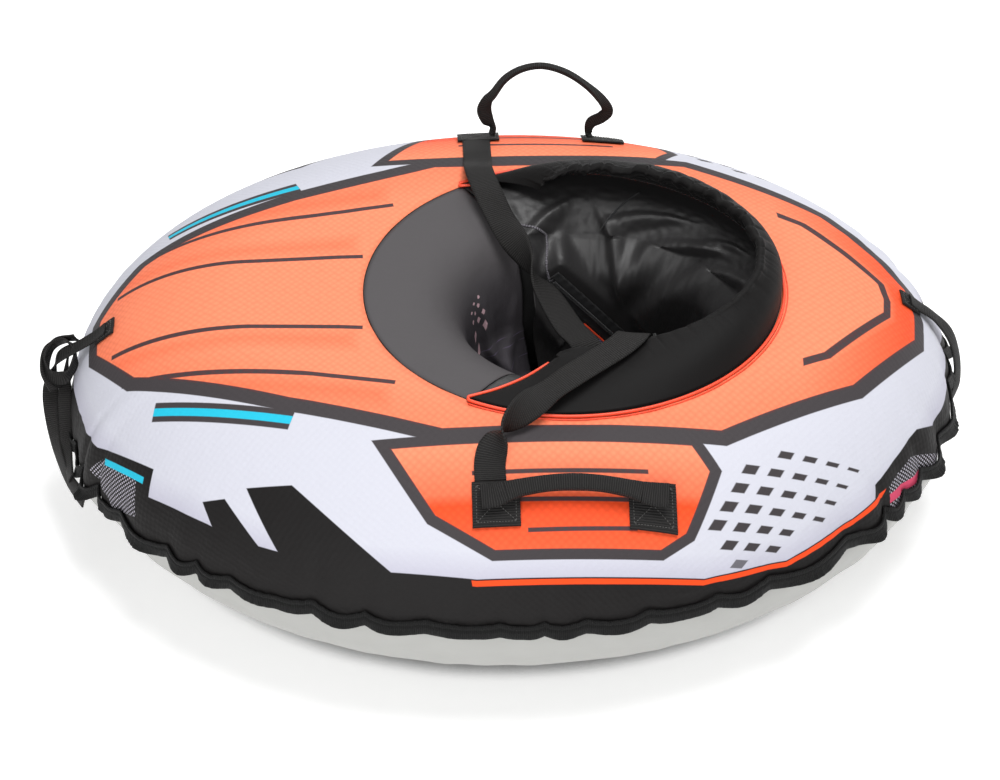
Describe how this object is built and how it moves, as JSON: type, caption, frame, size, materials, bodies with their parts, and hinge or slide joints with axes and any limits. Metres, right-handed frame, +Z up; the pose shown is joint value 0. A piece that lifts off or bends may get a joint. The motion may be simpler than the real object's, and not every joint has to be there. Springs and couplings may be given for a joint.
{
  "type": "inflatable snow tube",
  "caption": "Oval inflatable sled ring in a sewn cover, with a fabric bucket seat, elastic collar, webbing grab handles, lap belt with a side-release buckle and a tow strap.",
  "frame": {"origin": "middle of the body's flat underside, on the ground", "axes": "+Z up; +X to the tail, along the long axis; +Y to the far side; the nose is at -X"},
  "size_m": [1.0524, 0.8142, 0.3629],
  "materials": {
    "tube_rubber": "matt black PVC bladder",
    "printed_cover": "orange coated cover with black and pale panels",
    "base_cover": "smooth light grey PVC",
    "binding": "black gathered binding",
    "seat_fabric": "soft black woven fabric",
    "dash_print": "dark printed cover cloth",
    "piping": "orange-red piping",
    "facing_cloth": "pale printed cloth",
    "webbing": "ribbed black webbing",
    "elastic": "black elastic",
    "buckle_plastic": "black moulded plastic",
    "zip_cloth": "black zip tape",
    "zip_nylon": "black nylon coil",
    "zip_metal": "black enamelled",
    "valve_plastic": "black plastic",
    "valve_brass": "bare brass"
  },
  "bodies": {
    "body": {"inner_tube": "tube_rubber", "valve_stem": "tube_rubber", "top_cover": "printed_cover", "bottom_cover": "base_cover", "hem_binding": "binding", "seat_liner": "seat_fabric", "seat_floor": "seat_fabric", "dash_panel": "dash_print", "seat_collar": "seat_fabric", "collar_elastic": "elastic", "collar_piping": "piping", "far_handle_front_patch": "webbing", "far_handle_rear_patch": "webbing", "near_handle_front_patch": "webbing", "near_handle_rear_patch": "webbing", "zip_tape_lower": "zip_cloth", "zip_tape_upper": "zip_cloth", "zip_coil_lower": "zip_nylon", "zip_coil_upper": "zip_nylon", "zip_stop_top": "zip_metal", "zip_stop_foot": "zip_metal", "zip_piping": "piping", "zip_facing": "facing_cloth", "tow_strap_patch": "webbing", "rear_strap_patch": "webbing"},
    "far_handle": {"far_handle": "webbing"},
    "near_handle": {"near_handle": "webbing"},
    "belt_far": {"belt_far": "webbing"},
    "buckle_plug": {"buckle_plug": "buckle_plastic"},
    "buckle_prong_front": {"buckle_prong_front": "buckle_plastic"},
    "buckle_prong_rear": {"buckle_prong_rear": "buckle_plastic"},
    "belt_near": {"belt_near": "webbing"},
    "buckle_socket": {"buckle_socket": "buckle_plastic"},
    "zip_slider": {"zip_slider": "zip_metal"},
    "zip_pull": {"zip_pull": "zip_metal"},
    "valve_cap": {"valve_cap": "valve_plastic"},
    "valve_pin": {"valve_pin": "valve_brass"},
    "tow_strap": {"tow_strap": "webbing"},
    "rear_strap": {"rear_strap": "webbing"}
  },
  "joints": [
    {"name": "far_handle_swing", "type": "hinge", "parent": "body", "child": "far_handle", "pos_m": [-0.0151, 0.32156, 0.25987], "axis": [0.9988, 0.0027, -0.0496], "range_deg": [-60, 20]},
    {"name": "near_handle_swing", "type": "hinge", "parent": "body", "child": "near_handle", "pos_m": [-0.0151, -0.32156, 0.25987], "axis": [0.9984, -0.0031, -0.0573], "range_deg": [0, 120]},
    {"name": "belt_far_lift", "type": "hinge", "parent": "body", "child": "belt_far", "pos_m": [-0.03004, 0.29588, 0.26457], "axis": [-1, 0, 0], "range_deg": [0, 40]},
    {"name": "buckle_plug_swing", "type": "hinge", "parent": "belt_far", "child": "buckle_plug", "pos_m": [0.089, -0.078, 0.19768], "axis": [1, 0, 0], "range_deg": [-10, 90]},
    {"name": "prong_front_press", "type": "hinge", "parent": "buckle_plug", "child": "buckle_prong_front", "pos_m": [0.07125, -0.078, 0.18128], "axis": [0, -1, 0], "range_deg": [0, 8], "stiffness_Nm_per_rad": 0.2},
    {"name": "prong_rear_press", "type": "hinge", "parent": "buckle_plug", "child": "buckle_prong_rear", "pos_m": [0.10675, -0.078, 0.18128], "axis": [0, 1, 0], "range_deg": [0, 8], "stiffness_Nm_per_rad": 0.2},
    {"name": "belt_near_lift", "type": "hinge", "parent": "body", "child": "belt_near", "pos_m": [-0.03204, -0.29588, 0.26453], "axis": [1, 0, 0], "range_deg": [0, 45]},
    {"name": "buckle_socket_swing", "type": "hinge", "parent": "belt_near", "child": "buckle_socket", "pos_m": [0.13539, -0.09981, 0.27763], "axis": [0.8846, -0.0367, 0.465], "range_deg": [0, 60]},
    {"name": "zip_slider_run", "type": "slide", "parent": "body", "child": "zip_slider", "axis": [-0.6519, 0, 0.7583], "range_m": [0, 0.155]},
    {"name": "zip_pull_swing", "type": "hinge", "parent": "zip_slider", "child": "zip_pull", "pos_m": [0.15815, 0.088, 0.08847], "axis": [-0.7583, 0, -0.6519], "range_deg": [0, 150]},
    {"name": "valve_cap_turn", "type": "hinge", "parent": "body", "child": "valve_cap", "pos_m": [0.12605, 0.12257, 0.1148], "axis": [-0.1256, -0.9911, -0.0431], "continuous": true},
    {"name": "valve_pin_press", "type": "slide", "parent": "body", "child": "valve_pin", "axis": [0.1256, 0.9911, 0.0431], "range_m": [0, 0.0015], "stiffness_N_per_m": 400},
    {"name": "tow_strap_swing", "type": "hinge", "parent": "body", "child": "tow_strap", "pos_m": [-0.46808, 0, 0.21866], "axis": [0, 1, 0], "range_deg": [0, 60]},
    {"name": "rear_strap_swing", "type": "hinge", "parent": "body", "child": "rear_strap", "pos_m": [0.46809, 0.0201, 0.21791], "axis": [0, -1, 0], "range_deg": [0, 70]}
  ]
}
